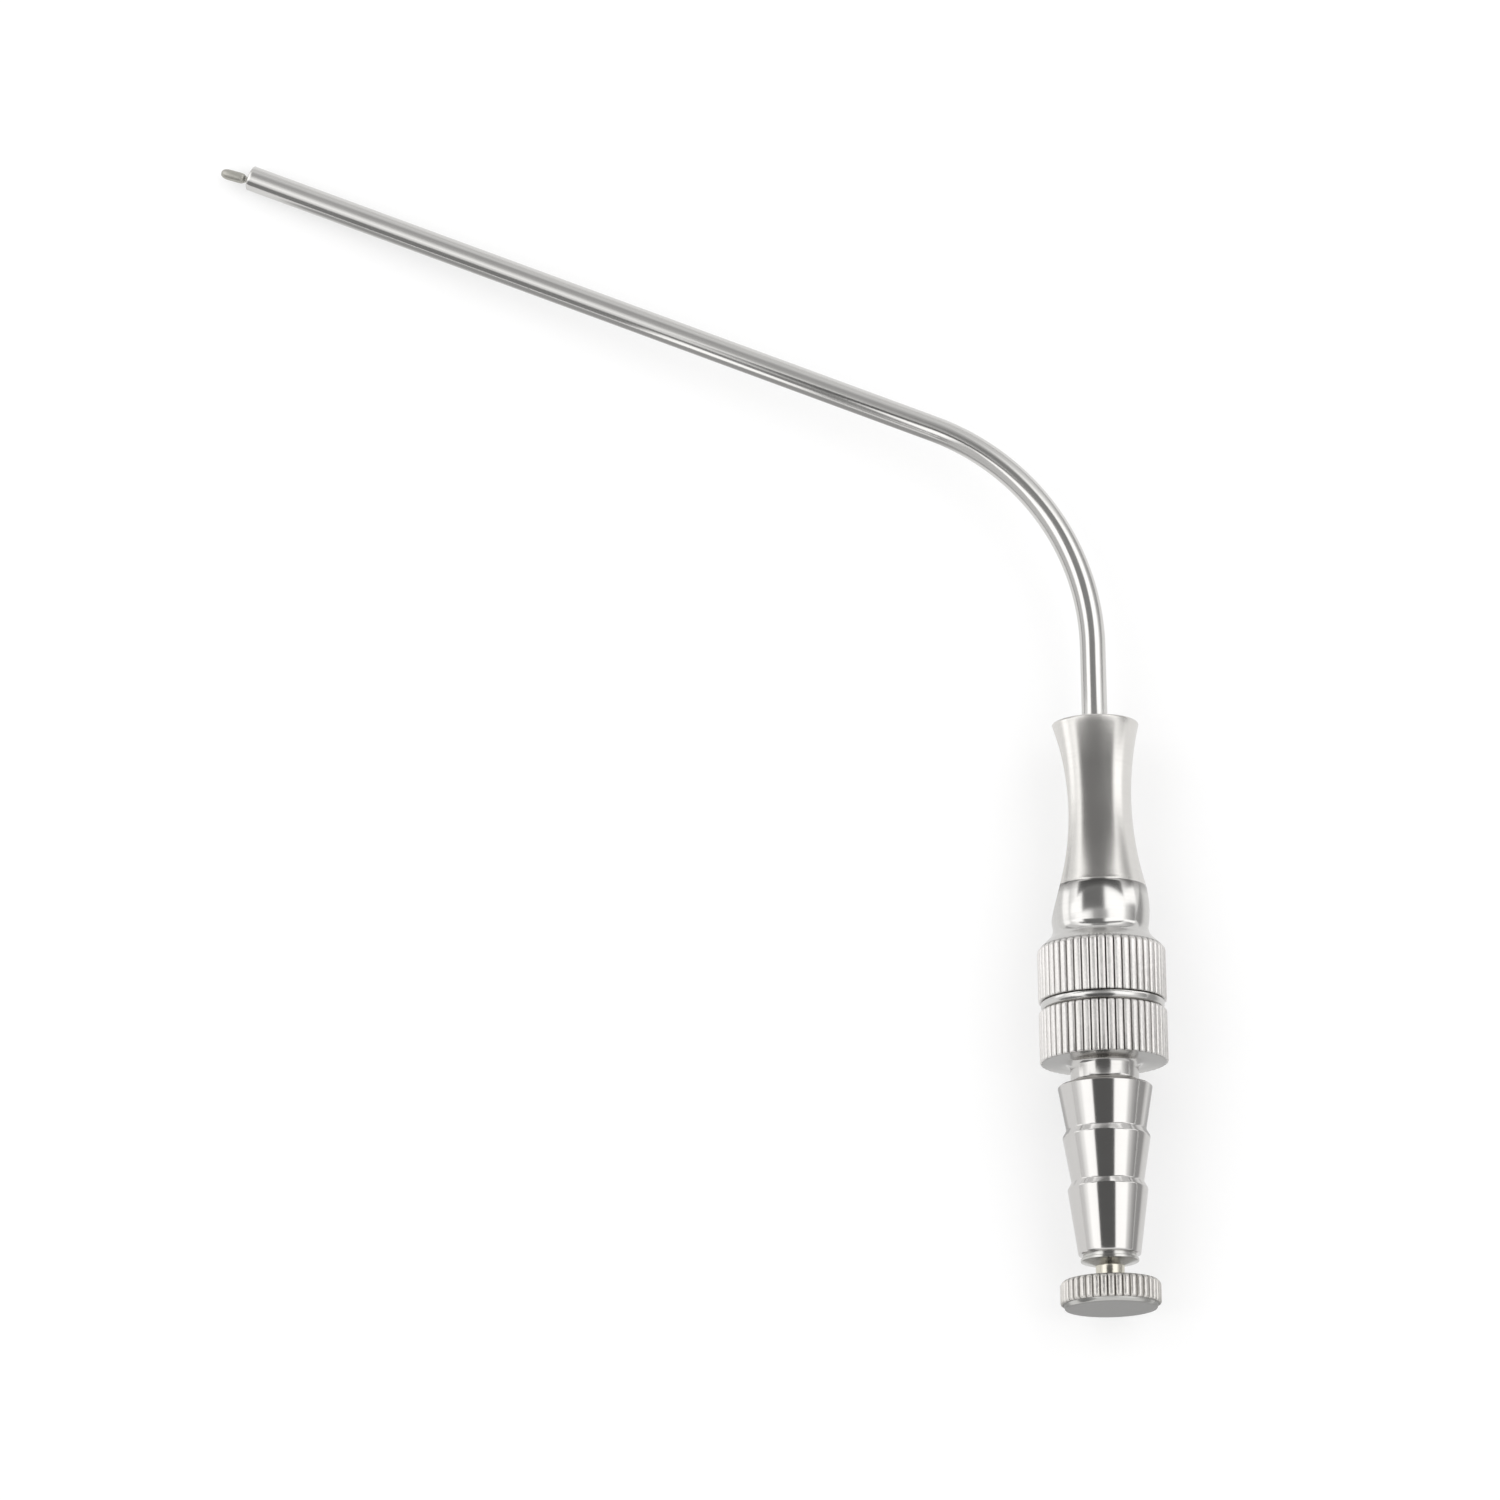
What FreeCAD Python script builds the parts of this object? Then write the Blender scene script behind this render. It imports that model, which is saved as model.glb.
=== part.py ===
# Angled suction tube of stainless steel with its cleaning stylet pushed home.
# A turned handle carries a thin bent tube at one end and a screwed-in hose connector at the other.
# A wire with a small olive tip runs through the whole bore and is pulled out by a knurled knob.
# Every piece is turned or bent about its own +Y axis, so one placement lays the set on its side.

import FreeCAD, Part
import math
import os
import Sketcher

os.makedirs("parts", exist_ok=True)
doc = FreeCAD.newDocument("suction_tube")

# Driving sizes in millimetres, degrees and plain counts
SIZES = [
    ("tube_radius", "1.5", "outer radius of the suction tube"),
    ("tube_bore_radius", "1.2", "bore of the suction tube"),
    ("tube_insertion", "8.0", "length of tube brazed into the handle"),
    ("tube_straight", "9.2", "straight tube from the handle to the bend"),
    ("bend_radius", "30.0", "centre-line radius of the bend"),
    ("bend_angle", "66.5", "turn of the bend"),
    ("tube_reach", "88.5", "straight tube from the bend to the mouth"),
    ("mouth_chamfer", "0.12", "broken outer edge of the mouth"),
    ("braze_gap", "0.02", "radial gap filled by the brazing"),

    ("handle_length", "34.2", "handle from the screwed joint to the rim"),
    ("rim_chamfer", "0.3", "chamfer of the rim"),
    ("waist_depth", "9.2", "narrowest place below the rim"),
    ("waist_radius", "4.0", "radius at the narrowest place"),
    ("waist_curve", "38.0", "hollow curve of the waist"),
    ("bulge_radius", "5.72", "largest radius of the bulge"),
    ("bulge_curve", "13.0", "outward curve of the bulge"),
    ("neck_curve", "1.6", "hollow curve between bulge and collar"),
    ("collar_radius", "7.42", "radius over the knurled ridges"),
    ("handle_band", "7.1", "height of the collar on the handle"),
    ("ring_radius", "7.22", "smooth ring under the handle's flutes, at its top"),
    ("ring_height", "1.05", "height of the ring above the joint"),
    ("ring_foot_radius", "7.04", "smooth ring where the notch begins"),
    ("notch_radius", "6.8", "bottom of the notch at the screwed joint"),
    ("notch_height", "0.2", "height of either side of the notch"),
    ("main_bore_radius", "1.9", "bore of the handle behind the tube"),

    ("scoop_floor", "3.2", "thumb scoop, from the axis to its floor"),
    ("scoop_curve", "34.0", "radius of the cutter that makes the scoop"),
    ("scoop_depth", "11.0", "middle of the scoop below the rim"),
    ("vent_radius", "1.3", "suction control hole in the scoop"),

    ("flute_count", "48", "ridges round the collar"),
    ("flute_depth", "0.42", "depth between the ridges"),
    ("flute_half_width", "0.38", "half width of one flute at the rim"),
    ("flute_run_out", "1.0", "free run of the cutter past an end face"),

    ("connector_band", "6.14", "height of the collar on the connector"),
    ("spigot_radius", "4.15", "threaded spigot of the connector"),
    ("spigot_length", "6.5", "length of the spigot"),
    ("spigot_chamfer", "0.4", "lead of the spigot"),
    ("socket_clearance", "0.05", "radial gap round the spigot"),
    ("socket_end_gap", "0.5", "free depth past the spigot"),
    ("neck_radius", "3.95", "neck between collar and barbs"),
    ("neck_length", "2.7", "length of the neck"),
    ("neck_chamfer", "0.6", "sloping ends of the neck"),
    ("barb_count", "3", "barbs on the hose connector"),
    ("barb_length", "5.1", "length of a barb's cone"),
    ("barb_back", "1.0", "sloping back of a barb"),
    ("barb_top_radius", "5.5", "largest radius of the barb by the neck"),
    ("barb_taper", "0.88", "narrowing along one barb"),
    ("barb_step", "0.42", "step in radius from one barb to the next"),
    ("barb_lead", "2.5", "extra length of the last barb"),
    ("barb_lead_taper", "0.18", "extra narrowing of the last barb"),
    ("connector_bore_radius", "2.5", "bore of the connector"),

    ("knob_radius", "5.8", "radius over the ridges of the knob"),
    ("knob_height", "3.2", "thickness of the knob"),
    ("knob_chamfer", "0.42", "chamfers of the knob"),
    ("knob_flute_count", "40", "ridges round the knob"),
    ("knob_flute_depth", "0.36", "depth between the knob's ridges"),
    ("knob_flute_half_width", "0.4", "half width of one flute of the knob"),
    ("stem_radius", "1.65", "stem between knob and flange"),
    ("stem_length", "1.75", "length of the stem"),
    ("flange_cone", "0.5", "height of the cone under the flange"),
    ("flange_radius", "3.36", "radius of the flange"),
    ("flange_height", "0.36", "thickness of the flange's edge"),
    ("shoulder_radius", "3.05", "shoulder that seats on the connector"),
    ("shoulder_height", "0.45", "height of the shoulder"),
    ("plug_clearance", "0.04", "radial gap round the plug"),
    ("plug_length", "6.0", "plug inside the connector's bore"),
    ("plug_chamfer", "0.5", "lead of the plug"),

    ("wire_radius", "0.35", "radius of the stylet wire"),
    ("wire_socket", "5.0", "depth of the wire's hole in the plug"),
    ("tip_shank", "4.5", "shank of the tip inside the mouth"),
    ("tip_wire_gap", "0.1", "gap between the wire and the shank"),
    ("tip_protrusion", "3.6", "tip outside the mouth"),
    ("olive_radius", "0.58", "radius of the olive"),
    ("olive_length", "2.45", "length of the olive with its round end"),
    ("olive_neck", "0.7", "taper from the shank to the olive"),
    ("tip_slope", "4.4", "slope of the tip against the tube"),
]

sizes = doc.addObject("Spreadsheet::Sheet", "sizes")
for row, (alias, number, meaning) in enumerate(SIZES, start=1):
    sizes.set(f"A{row}", meaning)
    sizes.set(f"B{row}", number)
    sizes.setAlias(f"B{row}", alias)
doc.recompute()


def value(text):
    """Number that a sum of sizes, such as 'collar_radius - flute_depth', stands for."""
    total, sign = 0.0, 1.0
    for word in text.split():
        if word in "+-":
            sign = 1.0 if word == "+" else -1.0
        else:
            total += sign * float(getattr(sizes, word))
    return total


def bound(text):
    """The same sum as an expression on the sheet."""
    return " ".join("sizes." + word if word.isidentifier() else word for word in text.split())


# Sketching helpers

def origin_feature(body, role):
    return next(feature for feature in body.Origin.OriginFeatures if feature.Role == role)


def new_body(name):
    body = doc.addObject("PartDesign::Body", name)
    body.Label = name
    return body


def new_sketch(body, name, plane="XY_Plane"):
    sketch = body.newObject("Sketcher::SketchObject", name)
    sketch.AttachmentSupport = [(origin_feature(body, plane), "")]
    sketch.MapMode = "FlatFace"
    return sketch


def tie(sketch, kind, *where, text):
    """Adds one dimension to a sketch and binds it to the sheet."""
    index = sketch.addConstraint(Sketcher.Constraint(kind, *where, value(text)))
    sketch.setExpression(f"Constraints[{index}]", bound(text))


def pin_point(sketch, geometry, point, x, y):
    """Holds a point at a distance from the sketch's axes; None keeps it on the axis."""
    if x is None:
        sketch.addConstraint(Sketcher.Constraint("PointOnObject", geometry, point, -2))
    else:
        tie(sketch, "DistanceX", -1, 1, geometry, point, text=x)
    if y is None:
        sketch.addConstraint(Sketcher.Constraint("PointOnObject", geometry, point, -1))
    else:
        tie(sketch, "DistanceY", -1, 1, geometry, point, text=y)


def at(x, y):
    return FreeCAD.Vector(x, y, 0)


def arc_between(centre, start, end):
    """Arc of less than half a turn round a centre, and which of its ends lies at start."""
    radius = start.distanceToPoint(centre)
    first = math.atan2(start.y - centre.y, start.x - centre.x)
    last = math.atan2(end.y - centre.y, end.x - centre.x)
    forwards = (last - first) % (2 * math.pi) < math.pi
    if not forwards:
        first, last = last, first
    circle = Part.Circle(centre, FreeCAD.Vector(0, 0, 1), radius)
    return Part.ArcOfCircle(circle, first, last), forwards


def outline(sketch, edges):
    """Closed outline. An edge is its start, its centre or None, and whether it runs on smoothly."""
    ends = []
    for index, (start, centre, _) in enumerate(edges):
        end = edges[(index + 1) % len(edges)][0]
        forwards = True
        if centre is None:
            edge = Part.LineSegment(start, end)
        else:
            edge, forwards = arc_between(centre, start, end)
        sketch.addGeometry(edge, False)
        ends.append((1, 2) if forwards else (2, 1))
    for index, (_, _, smooth) in enumerate(edges):
        after = (index + 1) % len(edges)
        kind = "Tangent" if smooth else "Coincident"
        sketch.addConstraint(Sketcher.Constraint(kind, index, ends[index][1], after, ends[after][0]))


def polygon(sketch, corners):
    """Closed outline of straight edges. A corner is a pair of sums, or None on an axis."""
    points = [at(value(x) if x else 0, value(y) if y else 0) for x, y in corners]
    outline(sketch, [(point, None, False) for point in points])
    for index, (x, y) in enumerate(corners):
        pin_point(sketch, index, 1, x, y)


def revolve(body, sketch, kind="Revolution"):
    feature = body.newObject("PartDesign::" + kind, sketch.Name + "_turned")
    feature.Profile = sketch
    feature.ReferenceAxis = (sketch, ["V_Axis"])
    feature.Angle = 360
    doc.recompute()
    return feature


def bore(body, name, steps):
    """Stepped bore cut round the axis. The steps run up the axis as pairs of sums."""
    sketch = new_sketch(body, name)
    polygon(sketch, [(None, steps[0][1])] + steps + [(None, steps[-1][1])])
    before = body.Shape.Volume
    feature = revolve(body, sketch, "Groove")
    assert feature.Shape.Volume < before
    return feature


def cut_flutes(body, name, radius, depth, half_width, count, start, length):
    """Straight knurling: one flute with round shoulders, repeated round the axis."""
    sketch = new_sketch(body, name, "XZ_Plane")
    sketch.setExpression("AttachmentOffset.Base.z", "-(" + bound(start) + ")")
    top, valley, half = value(radius), value(radius) - value(depth), value(half_width)
    free = top + value("flute_run_out")
    # The round shoulder leaves the ridge level and meets its twin in the valley.
    shoulder = (half ** 2 + (top - valley) ** 2) / (2 * (top - valley))
    left, _ = arc_between(at(-half, top - shoulder), at(-half, top), at(0, valley))
    right, _ = arc_between(at(half, top - shoulder), at(half, top), at(0, valley))
    sketch.addGeometry([
        left,
        right,
        Part.LineSegment(at(half, top), at(half, free)),
        Part.LineSegment(at(half, free), at(-half, free)),
        Part.LineSegment(at(-half, free), at(-half, top)),
    ], False)
    corners = [(0, 1, 1, 2), (1, 1, 2, 1), (2, 2, 3, 1), (3, 2, 4, 1), (4, 2, 0, 2)]
    for corner in corners:
        sketch.addConstraint(Sketcher.Constraint("Coincident", *corner))
    sketch.addConstraint(Sketcher.Constraint("Vertical", 2))
    sketch.addConstraint(Sketcher.Constraint("Vertical", 4))
    sketch.addConstraint(Sketcher.Constraint("Horizontal", 3))
    sketch.addConstraint(Sketcher.Constraint("Vertical", 0, 3, 0, 2))
    sketch.addConstraint(Sketcher.Constraint("Vertical", 1, 3, 1, 1))
    sketch.addConstraint(Sketcher.Constraint("Symmetric", 2, 1, 4, 2, -2))
    pin_point(sketch, 0, 1, None, f"{radius} - {depth}")
    pin_point(sketch, 1, 1, half_width, radius)
    tie(sketch, "DistanceY", 2, 1, 2, 2, text="flute_run_out")
    doc.recompute()

    before = body.Shape.Volume
    flute = body.newObject("PartDesign::Pocket", name + "_cut")
    flute.Profile = sketch
    flute.Type = "Length"
    flute.setExpression("Length", bound(length))
    doc.recompute()
    assert flute.Shape.Volume < before
    ring = body.newObject("PartDesign::PolarPattern", name + "_ring")
    ring.Originals = [flute]
    ring.Axis = (origin_feature(body, "Y_Axis"), [""])
    ring.Angle = 360
    ring.setExpression("Occurrences", bound(count))
    body.Tip = ring
    doc.recompute()


# Bent line of the tube and of the wire in it: up the axis, round the bend and on to the left

def bend_points(straight, reach):
    turn = math.radians(value("bend_angle"))
    radius = value("bend_radius")
    start = at(0, straight)
    centre = at(-radius, straight)
    end = centre + at(radius * math.cos(turn), radius * math.sin(turn))
    along = at(-math.sin(turn), math.cos(turn))
    return start, centre, end, end + along * reach


def bent_line(body, name, straight, reach):
    sketch = new_sketch(body, name)
    start, centre, end, last = bend_points(value(straight), value(reach))
    arc, _ = arc_between(centre, start, end)
    sketch.addGeometry([Part.LineSegment(at(0, 0), start), arc, Part.LineSegment(end, last)], False)
    sketch.addConstraint(Sketcher.Constraint("Coincident", 0, 1, -1, 1))
    sketch.addConstraint(Sketcher.Constraint("Vertical", 0))
    tie(sketch, "DistanceY", 0, 1, 0, 2, text=straight)
    sketch.addConstraint(Sketcher.Constraint("Tangent", 0, 2, 1, 1))
    sketch.addConstraint(Sketcher.Constraint("Tangent", 1, 2, 2, 1))
    tie(sketch, "Radius", 1, text="bend_radius")
    tie(sketch, "Distance", 2, text=reach)
    angle = sketch.addConstraint(Sketcher.Constraint("Angle", 0, 1, 2, 1, math.radians(value("bend_angle"))))
    sketch.setExpression(f"Constraints[{angle}]", bound("bend_angle") + " * 1 deg")
    doc.recompute()
    return sketch


def round_section(body, name, radii):
    sketch = new_sketch(body, name, "XZ_Plane")
    for index, radius in enumerate(radii):
        sketch.addGeometry(Part.Circle(at(0, 0), FreeCAD.Vector(0, 0, 1), value(radius)), False)
        sketch.addConstraint(Sketcher.Constraint("Coincident", index, 3, -1, 1))
        tie(sketch, "Radius", index, text=radius)
    return sketch


def sweep(body, section, line):
    pipe = body.newObject("PartDesign::AdditivePipe", body.Name + "_pipe")
    pipe.Profile = section
    pipe.Spine = (line, ["Edge1", "Edge2", "Edge3"])
    doc.recompute()
    return pipe


# Suction tube: drawn steel tube, bent, with its mouth edge broken
suction_tube = new_body("suction_tube")
tube_line = bent_line(suction_tube, "tube_line", "tube_insertion + tube_straight", "tube_reach")
tube_section = round_section(suction_tube, "tube_section", ["tube_radius", "tube_bore_radius"])
tube_pipe = sweep(suction_tube, tube_section, tube_line)

_, _, _, tube_mouth = bend_points(value("tube_insertion + tube_straight"), value("tube_reach"))


def is_mouth_edge(edge):
    return (
        isinstance(edge.Curve, Part.Circle)
        and abs(edge.Curve.Radius - value("tube_radius")) < 1e-4
        and edge.Curve.Center.distanceToPoint(tube_mouth) < 1e-3
    )


pipe_edges = enumerate(tube_pipe.Shape.Edges, start=1)
mouth_edges = [f"Edge{number}" for number, edge in pipe_edges if is_mouth_edge(edge)]
mouth = suction_tube.newObject("PartDesign::Chamfer", "tube_mouth")
mouth.Base = (tube_pipe, mouth_edges)
mouth.setExpression("Size", bound("mouth_chamfer"))
doc.recompute()


# Handle: turned bar with a hollow waist, a bulge, and the upper half of the knurled collar on a smooth ring
handle = new_body("handle")
profile = new_sketch(handle, "handle_profile")
rim_y = value("handle_length")
band_y = value("handle_band")
collar_r = value("collar_radius")
waist_centre = at(value("waist_radius + waist_curve"), value("handle_length - waist_depth"))
bulge_x = value("bulge_radius - bulge_curve")
centre_gap = value("waist_curve + bulge_curve")
bulge_centre = at(bulge_x, waist_centre.y - math.sqrt(centre_gap ** 2 - (waist_centre.x - bulge_x) ** 2))
waist_to_bulge = waist_centre + (bulge_centre - waist_centre) * (value("waist_curve") / centre_gap)

# The rim's chamfer ends on the waist's curve.
chamfer = value("rim_chamfer")
rim_side_y = rim_y - chamfer
rim_side_x = waist_centre.x - math.sqrt(value("waist_curve") ** 2 - (rim_side_y - waist_centre.y) ** 2)
rim_side = at(rim_side_x, rim_side_y)
rim_top = at(rim_side_x - chamfer, rim_y)

# The neck's hollow curve touches the bulge and the sloping shoulder of the collar.
neck_curve = value("neck_curve")
slope_sum = collar_r + band_y + neck_curve * math.sqrt(2)
across = at(1, -1).normalize()
bulge_lean = bulge_centre.x - bulge_centre.y
foot = at((slope_sum + bulge_lean) / 2, (slope_sum - bulge_lean) / 2)
reach_along = math.sqrt((value("bulge_curve") + neck_curve) ** 2 - (foot - bulge_centre).Length ** 2)
neck_centre = foot + across * reach_along
bulge_end = bulge_centre + (neck_centre - bulge_centre).normalize() * value("bulge_curve")
slope_top = neck_centre - at(1, 1).normalize() * neck_curve
collar_edge = at(collar_r, band_y)

# The flutes stop on a smooth ring, which narrows to the notch at the joint.
ledge = at(collar_r, value("ring_height"))
ring_top = at(value("ring_radius"), value("ring_height"))
ring_foot = at(value("ring_foot_radius"), value("notch_height"))
notch_foot = at(value("notch_radius"), 0)

AXIS, RIM, RIM_EDGE, WAIST, BULGE, NECK, SLOPE, SIDE, LEDGE, RING, NOTCH, JOINT = range(12)
outline(profile, [
    (at(0, 0), None, False),
    (at(0, rim_y), None, False),
    (rim_top, None, False),
    (rim_side, waist_centre, True),
    (waist_to_bulge, bulge_centre, True),
    (bulge_end, neck_centre, True),
    (slope_top, None, False),
    (collar_edge, None, False),
    (ledge, None, False),
    (ring_top, None, False),
    (ring_foot, None, False),
    (notch_foot, None, False),
])
profile.addConstraint(Sketcher.Constraint("Coincident", AXIS, 1, -1, 1))
profile.addConstraint(Sketcher.Constraint("Vertical", AXIS))
profile.addConstraint(Sketcher.Constraint("Horizontal", RIM))
profile.addConstraint(Sketcher.Constraint("Vertical", SIDE))
profile.addConstraint(Sketcher.Constraint("Horizontal", JOINT))
tie(profile, "DistanceY", AXIS, 1, AXIS, 2, text="handle_length")
tie(profile, "DistanceX", RIM_EDGE, 1, RIM_EDGE, 2, text="rim_chamfer")
tie(profile, "DistanceY", RIM_EDGE, 2, RIM_EDGE, 1, text="rim_chamfer")
tie(profile, "Radius", WAIST, text="waist_curve")
pin_point(profile, WAIST, 3, "waist_radius + waist_curve", "handle_length - waist_depth")
tie(profile, "Radius", BULGE, text="bulge_curve")
tie(profile, "DistanceX", -1, 1, BULGE, 3, text="bulge_radius - bulge_curve")
tie(profile, "Radius", NECK, text="neck_curve")
pin_point(profile, SLOPE, 2, "collar_radius", "handle_band")
profile.addConstraint(Sketcher.Constraint("Angle", SLOPE, -math.pi / 4))
profile.addConstraint(Sketcher.Constraint("Horizontal", LEDGE))
pin_point(profile, RING, 1, "ring_radius", "ring_height")
pin_point(profile, NOTCH, 1, "ring_foot_radius", "notch_height")
tie(profile, "DistanceX", -1, 1, JOINT, 1, text="notch_radius")
revolve(handle, profile)

cut_flutes(
    handle, "handle_flute", "collar_radius", "flute_depth", "flute_half_width", "flute_count",
    start="ring_height", length="handle_band + flute_run_out - ring_height",
)

# Socket for the spigot, main bore, and the seat that the tube is brazed into
socket_r = "spigot_radius + socket_clearance"
socket_y = "spigot_length + socket_end_gap"
seat_r = "tube_radius + braze_gap"
seat_y = "handle_length - tube_insertion"
bore(handle, "handle_bore", [
    (socket_r, None),
    (socket_r, socket_y),
    ("main_bore_radius", socket_y),
    ("main_bore_radius", seat_y),
    (seat_r, seat_y),
    (seat_r, "handle_length"),
])

# Thumb scoop on the side that the tube bends to, milled across with a large cutter
scoop_sketch = new_sketch(handle, "scoop_sketch")
scoop_centre = at(-value("scoop_floor + scoop_curve"), value("handle_length - scoop_depth"))
scoop_sketch.addGeometry(Part.Circle(scoop_centre, FreeCAD.Vector(0, 0, 1), value("scoop_curve")), False)
tie(scoop_sketch, "Radius", 0, text="scoop_curve")
tie(scoop_sketch, "DistanceX", 0, 3, -1, 1, text="scoop_floor + scoop_curve")
tie(scoop_sketch, "DistanceY", -1, 1, 0, 3, text="handle_length - scoop_depth")
doc.recompute()
before_scoop = handle.Shape.Volume
scoop = handle.newObject("PartDesign::Pocket", "thumb_scoop")
scoop.Profile = scoop_sketch
scoop.Type = "Length"
scoop.Midplane = True
scoop.setExpression("Length", bound("collar_radius + collar_radius"))
doc.recompute()
assert scoop.Shape.Volume < before_scoop

# Suction control hole from the scoop's floor into the main bore
vent_sketch = new_sketch(handle, "vent_sketch", "YZ_Plane")
vent_centre = at(value("handle_length - scoop_depth"), 0)
vent_sketch.addGeometry(Part.Circle(vent_centre, FreeCAD.Vector(0, 0, 1), value("vent_radius")), False)
tie(vent_sketch, "Radius", 0, text="vent_radius")
pin_point(vent_sketch, 0, 3, "handle_length - scoop_depth", None)
doc.recompute()
before_vent = handle.Shape.Volume
vent = handle.newObject("PartDesign::Pocket", "vent_hole")
vent.Profile = vent_sketch
vent.Type = "Length"
vent.setExpression("Length", bound("collar_radius"))
doc.recompute()
assert vent.Shape.Volume < before_vent


# Hose connector: turned bar with a threaded spigot, the lower half of the collar, and hose barbs
hose_connector = new_body("hose_connector")
connector_sketch = new_sketch(hose_connector, "connector_profile")

# The barbs are numbered from the neck down; each is smaller than the one above by the same step.
barb_number = int(value("barb_count"))
barbs_height = "barb_lead" + " + barb_length" * barb_number + " + barb_back" * (barb_number - 1)
barb_corners = []
barb_foot = barbs_height
barb_radius = "barb_top_radius"
for number in range(barb_number):
    barb_corners.append((barb_radius, barb_foot))
    barb_foot += " - barb_length"
    small_end = barb_radius + " - barb_taper"
    if number < barb_number - 1:
        barb_corners.append((small_end, barb_foot))
        barb_foot += " - barb_back"
        barb_radius += " - barb_step"
    else:
        barb_corners.append((small_end + " - barb_lead_taper", None))

band_foot = barbs_height + " + neck_length"
connector_height = band_foot + " + connector_band"
spigot_top = connector_height + " + spigot_length"
polygon(connector_sketch, [
    (None, spigot_top),
    ("spigot_radius - spigot_chamfer", spigot_top),
    ("spigot_radius", spigot_top + " - spigot_chamfer"),
    ("spigot_radius", connector_height),
    ("notch_radius", connector_height),
    ("collar_radius", connector_height + " - notch_height"),
    ("collar_radius", band_foot),
    ("neck_radius + neck_chamfer", band_foot),
    ("neck_radius", band_foot + " - neck_chamfer"),
    ("neck_radius", barbs_height + " + neck_chamfer"),
    ("neck_radius + neck_chamfer", barbs_height),
] + barb_corners + [(None, None)])
revolve(hose_connector, connector_sketch)
cut_flutes(
    hose_connector, "connector_flute", "collar_radius", "flute_depth", "flute_half_width", "flute_count",
    start=band_foot + " - flute_run_out", length="connector_band + flute_run_out + flute_run_out",
)
bore(hose_connector, "connector_bore", [
    ("connector_bore_radius", None),
    ("connector_bore_radius", spigot_top),
])


# Stylet knob: knurled disc, stem, flange and plug turned in one piece
stylet_knob = new_body("stylet_knob")
knob_sketch = new_sketch(stylet_knob, "knob_profile")
stem_top = "knob_height + stem_length"
flange_foot = stem_top + " + flange_cone"
flange_top = flange_foot + " + flange_height"
knob_seat = flange_top + " + shoulder_height"
plug_radius = "connector_bore_radius - plug_clearance"
plug_top = knob_seat + " + plug_length"
polygon(knob_sketch, [
    (None, None),
    ("knob_radius - knob_chamfer", None),
    ("knob_radius", "knob_chamfer"),
    ("knob_radius", "knob_height - knob_chamfer"),
    ("knob_radius - knob_chamfer", "knob_height"),
    ("stem_radius", "knob_height"),
    ("stem_radius", stem_top),
    ("flange_radius", flange_foot),
    ("flange_radius", flange_top),
    ("shoulder_radius", flange_top),
    ("shoulder_radius", knob_seat),
    (plug_radius, knob_seat),
    (plug_radius, plug_top + " - plug_chamfer"),
    (plug_radius + " - plug_chamfer", plug_top),
    (None, plug_top),
])
revolve(stylet_knob, knob_sketch)
cut_flutes(
    stylet_knob, "knob_flute", "knob_radius", "knob_flute_depth", "knob_flute_half_width", "knob_flute_count",
    start="- flute_run_out", length="knob_height + flute_run_out + flute_run_out",
)
bore(stylet_knob, "wire_hole", [("wire_radius", plug_top + " - wire_socket"), ("wire_radius", plug_top)])


# Stylet wire: one spring wire from the plug through handle and tube
stylet_wire = new_body("stylet_wire")
wire_straight = "wire_socket - plug_length + " + connector_height + " + handle_length + tube_straight"
wire_line = bent_line(stylet_wire, "wire_line", wire_straight, "tube_reach - tip_shank - tip_wire_gap")
wire_section = round_section(stylet_wire, "wire_section", ["wire_radius"])
sweep(stylet_wire, wire_section, wire_line)


# Stylet tip: shank and round-ended olive, which looks out of the mouth
stylet_tip = new_body("stylet_tip")
tip_sketch = new_sketch(stylet_tip, "tip_profile")
tip_end = value("tip_shank + tip_protrusion")
neck_start = value("tip_shank + tip_protrusion - olive_length - olive_neck")
olive_start = value("tip_shank + tip_protrusion - olive_length")
olive = value("olive_radius")
SHANK_FOOT, SHANK, TAPER, OLIVE_SIDE, OLIVE_END, TIP_AXIS = range(6)
outline(tip_sketch, [
    (at(0, 0), None, False),
    (at(value("wire_radius"), 0), None, False),
    (at(value("wire_radius"), neck_start), None, False),
    (at(olive, olive_start), None, True),
    (at(olive, tip_end - olive), at(0, tip_end - olive), False),
    (at(0, tip_end), None, False),
])
pin_point(tip_sketch, SHANK_FOOT, 1, None, None)
pin_point(tip_sketch, SHANK, 1, "wire_radius", None)
pin_point(tip_sketch, TAPER, 1, "wire_radius", "tip_shank + tip_protrusion - olive_length - olive_neck")
pin_point(tip_sketch, OLIVE_SIDE, 1, "olive_radius", "tip_shank + tip_protrusion - olive_length")
tip_sketch.addConstraint(Sketcher.Constraint("Vertical", OLIVE_SIDE))
pin_point(tip_sketch, TIP_AXIS, 1, None, "tip_shank + tip_protrusion")
tip_sketch.addConstraint(Sketcher.Constraint("PointOnObject", OLIVE_END, 3, -2))
revolve(stylet_tip, tip_sketch)


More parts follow.
